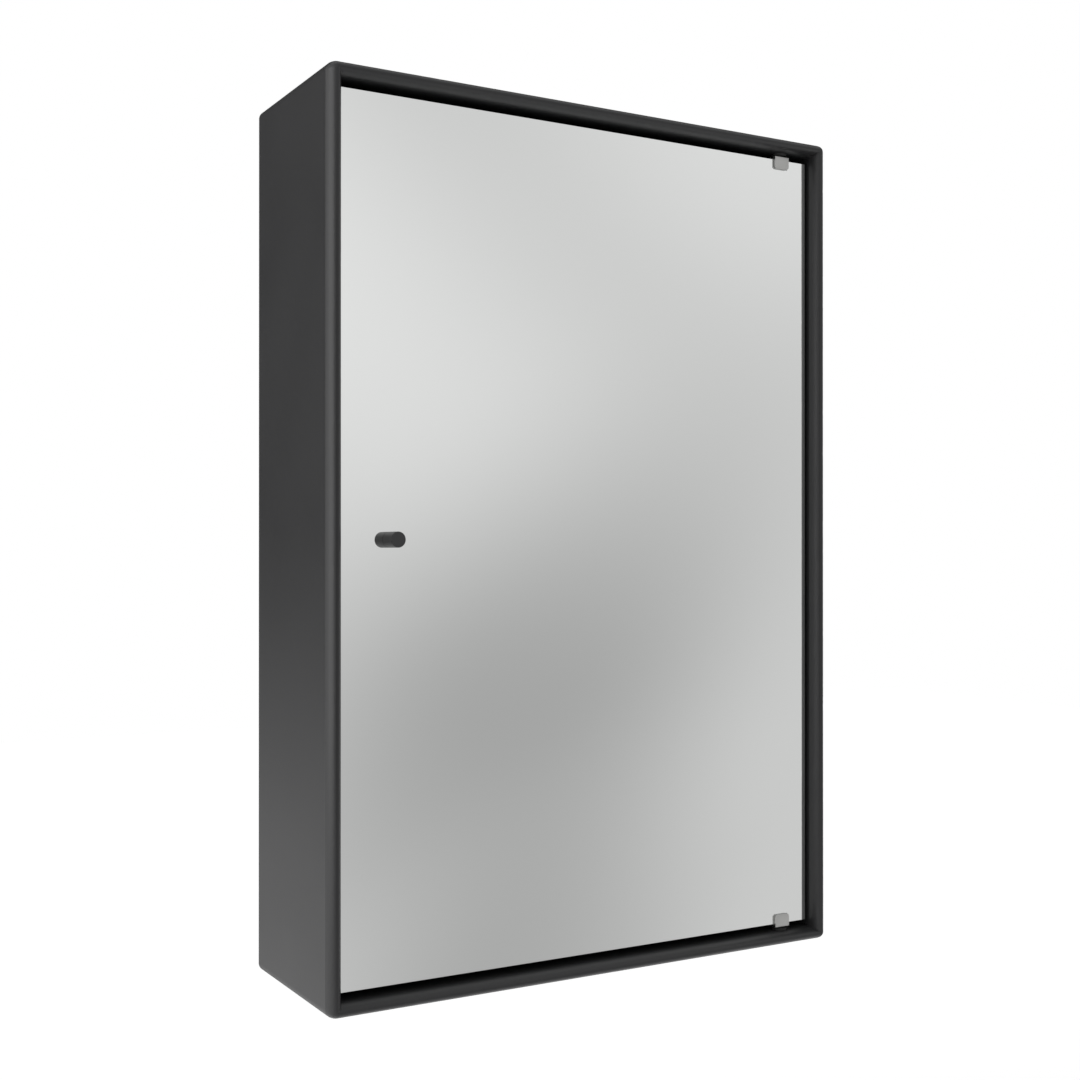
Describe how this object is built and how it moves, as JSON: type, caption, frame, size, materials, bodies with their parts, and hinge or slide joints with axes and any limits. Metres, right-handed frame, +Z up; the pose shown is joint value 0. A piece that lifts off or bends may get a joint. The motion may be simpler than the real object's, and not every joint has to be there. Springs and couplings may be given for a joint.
{
  "type": "mirror cabinet",
  "caption": "Wall-hung mirror cabinet: mitred dark lacquered frame with rounded front edges, inset mirror door on pivot hinges with a round knob, and glass shelves inside.",
  "frame": {"origin": "middle of the wall rail's row of screw holes, on the wall plane", "axes": "+Z up, -Y out of the wall towards the user, +X to the right as seen from the front"},
  "size_m": [0.4666, 0.1571, 0.7],
  "materials": {
    "lacquered_board": "satin anthracite lacquer",
    "birch_ply": "bare plywood",
    "silvered_glass": "polished",
    "clear_glass": "polished edges",
    "extruded_aluminium": "mill finish",
    "zinc_plated_steel": "bright zinc",
    "matt_nickel": "matt nickel plate",
    "bright_steel": "ground",
    "dark_metal": "anthracite powder coat",
    "soft_rubber": "matt",
    "dark_plastic": "fine grain",
    "backing_film": "matt grey film",
    "ferrite": "pressed ferrite"
  },
  "bodies": {
    "cabinet": {"left_side": "lacquered_board", "right_side": "lacquered_board", "top_panel": "lacquered_board", "bottom_panel": "lacquered_board", "back_panel": "lacquered_board", "mitre_splines": "birch_ply", "upper_shelf": "clear_glass", "lower_shelf": "clear_glass", "wall_rail": "extruded_aluminium", "cabinet_rail": "extruded_aluminium", "cabinet_rail_screws": "zinc_plated_steel", "catch_screws": "zinc_plated_steel", "catch_pole_plates": "zinc_plated_steel", "upper_shelf_pins": "matt_nickel", "lower_shelf_pins": "matt_nickel", "upper_shelf_pads": "soft_rubber", "lower_shelf_pads": "soft_rubber", "upper_hinge_bush": "dark_plastic", "lower_hinge_bush": "dark_plastic", "catch_housing": "dark_plastic", "catch_magnet": "ferrite"},
    "door": {"mirror_glass": "silvered_glass", "safety_backing": "backing_film", "knob": "dark_metal", "knob_washer": "dark_plastic", "knob_sleeve": "dark_plastic", "knob_screw": "zinc_plated_steel", "strike_plate": "zinc_plated_steel", "upper_hinge_clip": "matt_nickel", "lower_hinge_clip": "matt_nickel", "upper_clip_liner": "soft_rubber", "lower_clip_liner": "soft_rubber", "upper_clip_screws": "bright_steel", "lower_clip_screws": "bright_steel", "upper_pivot_pin": "bright_steel", "lower_pivot_pin": "bright_steel"}
  },
  "joints": [
    {"name": "door_hinge", "type": "hinge", "parent": "cabinet", "child": "door", "pos_m": [0.192, -0.139, -0.29], "axis": [0, 0, 1], "range_deg": [0, 145]}
  ]
}
